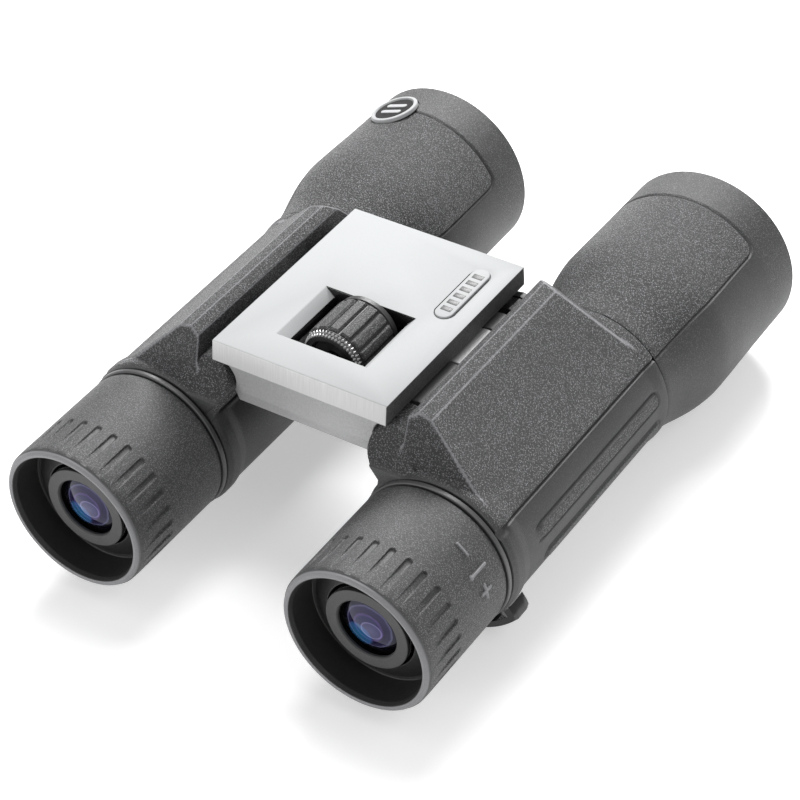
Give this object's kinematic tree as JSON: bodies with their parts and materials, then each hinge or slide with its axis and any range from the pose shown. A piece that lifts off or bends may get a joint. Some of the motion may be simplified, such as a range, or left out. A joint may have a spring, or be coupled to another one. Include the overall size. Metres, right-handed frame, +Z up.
{
  "type": "compact folding binoculars",
  "caption": "Compact rubber-armoured roof-prism binoculars on a folding two-hinge bridge with a centre focus wheel in a light plate.",
  "frame": {"origin": "centre of the bounding box at its lowest level, the plane that the objective hoods stand on", "axes": "+Y the viewing direction, from the eyecups to the objectives, +X the user's right, +Z up through the bridge plate"},
  "size_m": [0.1068, 0.1372, 0.0497],
  "materials": {
    "armour_rubber": "fine moulded grain, satin",
    "smooth_rubber": "smooth, satin",
    "black_plastic": "gloss",
    "dark_plastic": "matt",
    "silver_plate": "bead-blasted, light, with a brushed end",
    "cast_alloy": "cast, satin",
    "black_alloy": "black anodised, matt",
    "steel": "turned",
    "brass": "turned",
    "coated_glass": "polished, violet-blue coating",
    "optical_glass": "polished"
  },
  "bodies": {
    "bridge": {"top_plate": "silver_plate", "plate_mark": "silver_plate", "bridge_frame": "cast_alloy", "bottom_cover": "dark_plastic", "cover_screw_1": "steel", "cover_screw_2": "steel", "cover_screw_3": "steel", "cover_screw_4": "steel", "left_hinge_pin": "steel", "right_hinge_pin": "steel"},
    "focus_wheel": {"focus_screw": "steel", "focus_wheel_core": "dark_plastic", "focus_wheel_grip": "armour_rubber"},
    "focus_carriage": {"focus_nut": "brass", "focus_carriage": "black_alloy"},
    "left_barrel": {"left_chassis": "dark_plastic", "left_armour": "armour_rubber", "left_eyepiece_collar": "smooth_rubber", "left_prism_cage": "black_plastic", "left_roof_prism": "optical_glass", "left_half_prism": "optical_glass", "left_objective_tube": "black_alloy", "left_objective_hood": "armour_rubber", "left_eyecup": "armour_rubber", "left_eyepiece_housing": "black_plastic", "left_eye_lens_ring": "dark_plastic", "left_eye_lens": "coated_glass", "left_field_lens": "optical_glass", "left_badge": "silver_plate"},
    "right_barrel": {"right_chassis": "dark_plastic", "right_armour": "armour_rubber", "right_eyepiece_collar": "smooth_rubber", "right_prism_cage": "black_plastic", "right_roof_prism": "optical_glass", "right_half_prism": "optical_glass", "right_objective_tube": "black_alloy", "right_objective_hood": "armour_rubber", "strap_lug": "black_plastic"},
    "left_objective": {"left_objective_cell": "black_alloy", "left_objective_crown": "coated_glass", "left_objective_flint": "optical_glass", "left_objective_ring": "dark_plastic", "left_focus_lever": "black_alloy"},
    "right_objective": {"right_objective_cell": "black_alloy", "right_objective_crown": "coated_glass", "right_objective_flint": "optical_glass", "right_objective_ring": "dark_plastic", "right_focus_lever": "black_alloy"},
    "diopter_ring": {"right_eyecup": "armour_rubber"},
    "right_eyepiece": {"right_eyepiece_housing": "black_plastic", "right_eye_lens_ring": "dark_plastic", "right_eye_lens": "coated_glass", "right_field_lens": "optical_glass"}
  },
  "joints": [
    {"name": "left_hinge", "type": "hinge", "parent": "bridge", "child": "left_barrel", "pos_m": [-0.021, -0.0143, 0.0382], "axis": [0, -1, 0], "range_deg": [-13, 34]},
    {"name": "right_hinge", "type": "hinge", "parent": "bridge", "child": "right_barrel", "pos_m": [0.021, -0.0143, 0.0382], "axis": [0, 1, 0], "range_deg": [-13, 34]},
    {"name": "focus_turn", "type": "hinge", "parent": "bridge", "child": "focus_wheel", "pos_m": [0, -0.0184, 0.0424], "axis": [0, 1, 0], "range_deg": [-272, 272]},
    {"name": "carriage_slide", "type": "slide", "parent": "bridge", "child": "focus_carriage", "axis": [0, 1, 0], "range_m": [-0.0015, 0.0015]},
    {"name": "left_objective_slide", "type": "slide", "parent": "left_barrel", "child": "left_objective", "axis": [0, 1, 0], "range_m": [-0.00152, 0.00152]},
    {"name": "right_objective_slide", "type": "slide", "parent": "right_barrel", "child": "right_objective", "axis": [0, 1, 0], "range_m": [-0.00152, 0.00152]},
    {"name": "diopter_turn", "type": "hinge", "parent": "right_barrel", "child": "diopter_ring", "pos_m": [0.03305, -0.0536, 0.0204], "axis": [0, 1, 0], "range_deg": [-40, 40]},
    {"name": "right_eyepiece_slide", "type": "slide", "parent": "right_barrel", "child": "right_eyepiece", "axis": [0, 1, 0], "range_m": [-0.00085, 0.00085]}
  ],
  "couplings": [
    {"joint": "focus_turn", "follows": "carriage_slide", "rad_per_m": 3141.6},
    {"joint": "left_objective_slide", "follows": "carriage_slide", "ratio": 1},
    {"joint": "right_objective_slide", "follows": "carriage_slide", "ratio": 1},
    {"joint": "right_eyepiece_slide", "follows": "diopter_turn", "m_per_rad": 0.0012}
  ]
}
